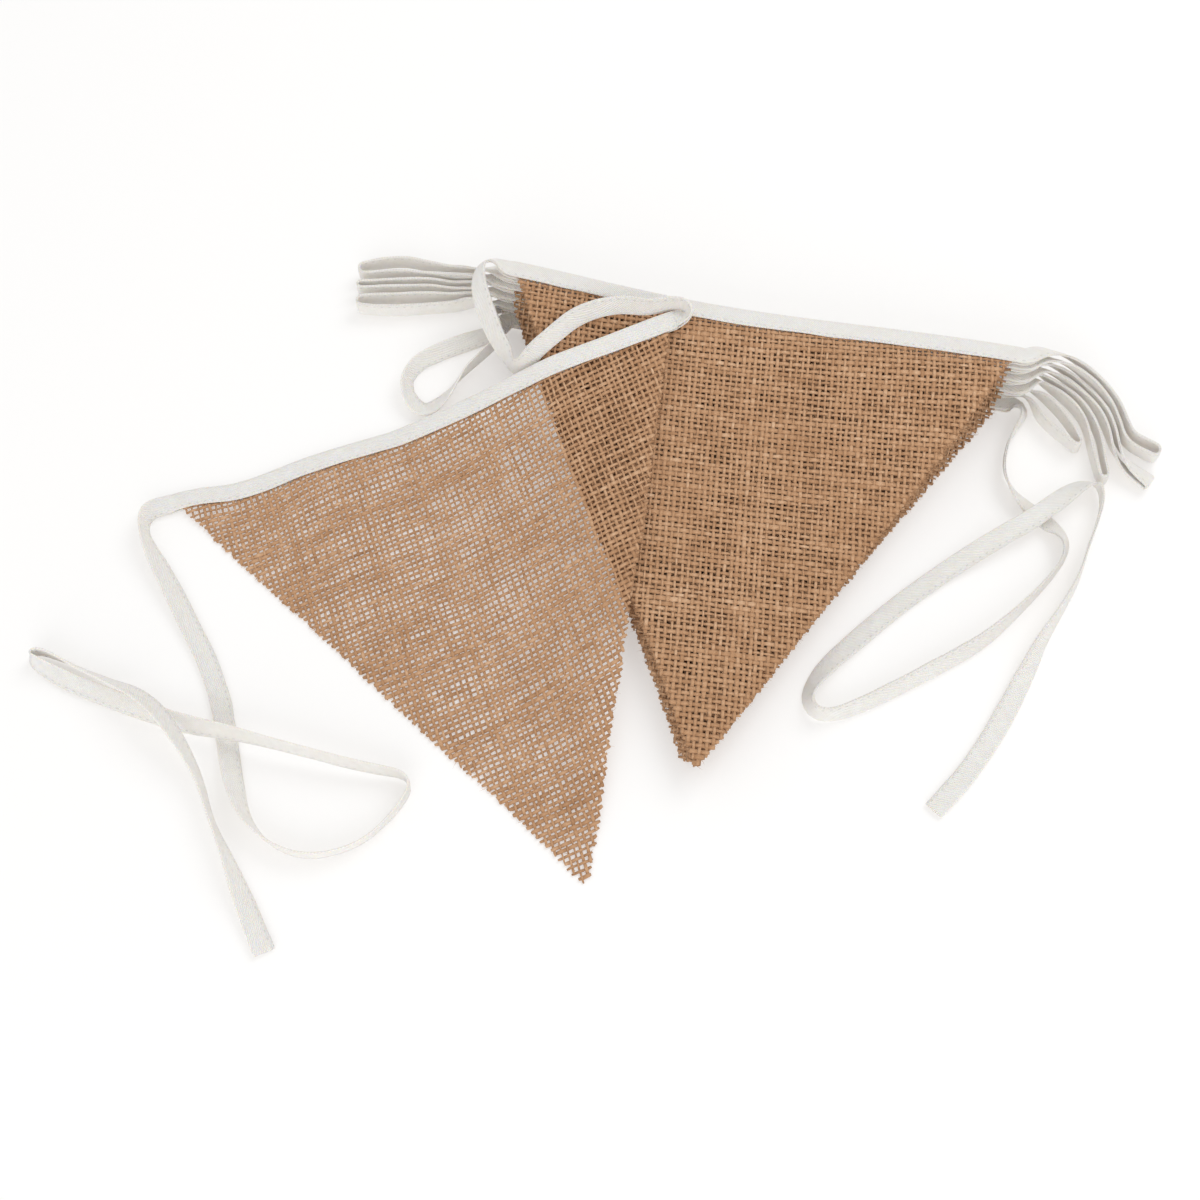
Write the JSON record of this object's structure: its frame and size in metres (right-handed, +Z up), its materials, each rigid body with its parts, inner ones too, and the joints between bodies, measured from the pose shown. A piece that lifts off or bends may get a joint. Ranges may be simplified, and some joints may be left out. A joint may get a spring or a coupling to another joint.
{
  "type": "fabric bunting",
  "caption": "String of triangular jute pennants sewn into a folded cotton tape, put away as a folded pile with one pennant laid out beside it and the tape's two ends loose.",
  "frame": {"origin": "on the surface that the bunting lies on, under the middle of the whole piece's box", "axes": "+Z is up from that surface, +X runs along the longest side from the laid-out pennant's tie to the loops on the pile's right, and +Y points to the back, from the pennants' tips towards their sewn top edges"},
  "size_m": [0.423, 0.2884, 0.0356],
  "materials": {
    "jute_cloth": "open plain weave of undyed jute yarn, matt and hairy, with uneven thick and thin yarns",
    "cotton_tape": "unbleached cotton twill tape folded in half along its length and sewn near its open edge, matt"
  },
  "bodies": {
    "root": {"pennant_01": "jute_cloth", "pennant_02": "jute_cloth", "pennant_03": "jute_cloth", "pennant_04": "jute_cloth", "pennant_05": "jute_cloth", "pennant_06": "jute_cloth", "pennant_07": "jute_cloth", "pennant_08": "jute_cloth", "pennant_09": "jute_cloth", "pennant_10": "jute_cloth", "binding_01": "cotton_tape", "binding_02": "cotton_tape", "binding_03": "cotton_tape", "binding_04": "cotton_tape", "binding_05": "cotton_tape", "binding_06": "cotton_tape", "binding_07": "cotton_tape", "binding_08": "cotton_tape", "binding_09": "cotton_tape", "binding_10": "cotton_tape", "link_01_02": "cotton_tape", "link_02_03": "cotton_tape", "link_03_04": "cotton_tape", "link_04_05": "cotton_tape", "link_05_06": "cotton_tape", "link_06_07": "cotton_tape", "link_07_08": "cotton_tape", "link_08_09": "cotton_tape", "link_09_10": "cotton_tape", "tie_left": "cotton_tape", "tie_right": "cotton_tape"}
  },
  "joints": []
}
